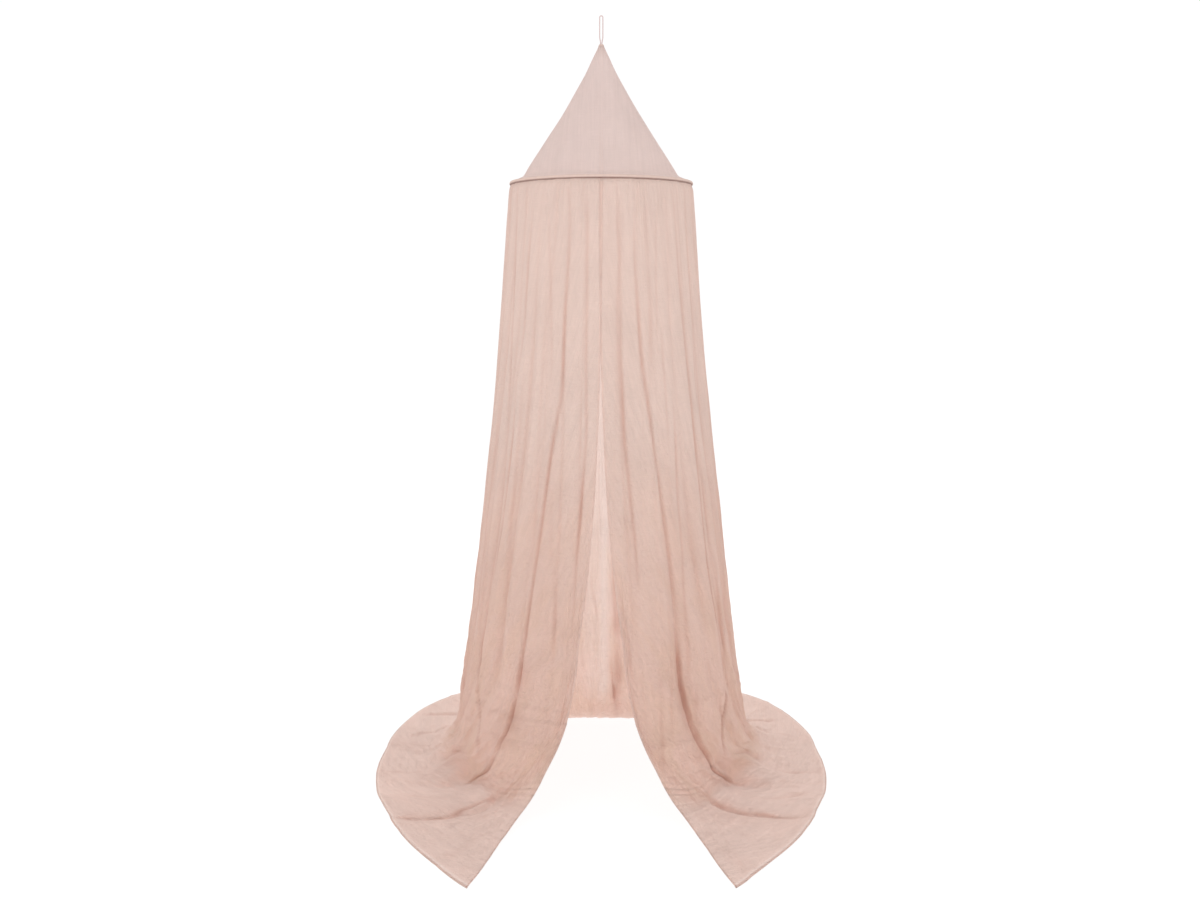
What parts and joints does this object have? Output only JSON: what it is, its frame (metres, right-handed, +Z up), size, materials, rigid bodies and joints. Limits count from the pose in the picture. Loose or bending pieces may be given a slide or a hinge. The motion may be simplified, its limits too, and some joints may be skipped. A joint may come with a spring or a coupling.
{
  "type": "mosquito net canopy with hoop",
  "caption": "Mosquito net bed canopy: a cloth cone roof and a long parted net, gathered on a bound hoop, hung from a cord loop and trailing on the floor.",
  "frame": {"origin": "inside the top of the hanging loop, where the ceiling hook bears", "axes": "+Z up, along the line the canopy hangs on; the parting of the net faces -Y; +X is to the right as seen from the front"},
  "size_m": [1.3449, 1.4853, 2.161],
  "materials": {
    "net": "soft crinkled cotton gauze, dusty pink",
    "roof_cloth": "plain woven cotton, pale dusty pink",
    "binding": "plain woven cotton strip, wound tight, darker dusty pink",
    "cord": "twisted cotton cord",
    "hoop_plastic": "plain moulded tube"
  },
  "bodies": {
    "root": {"hanging_loop": "cord", "roof_cone": "roof_cloth", "hoop": "hoop_plastic", "hoop_casing": "binding", "net_skirt": "net"}
  },
  "joints": []
}
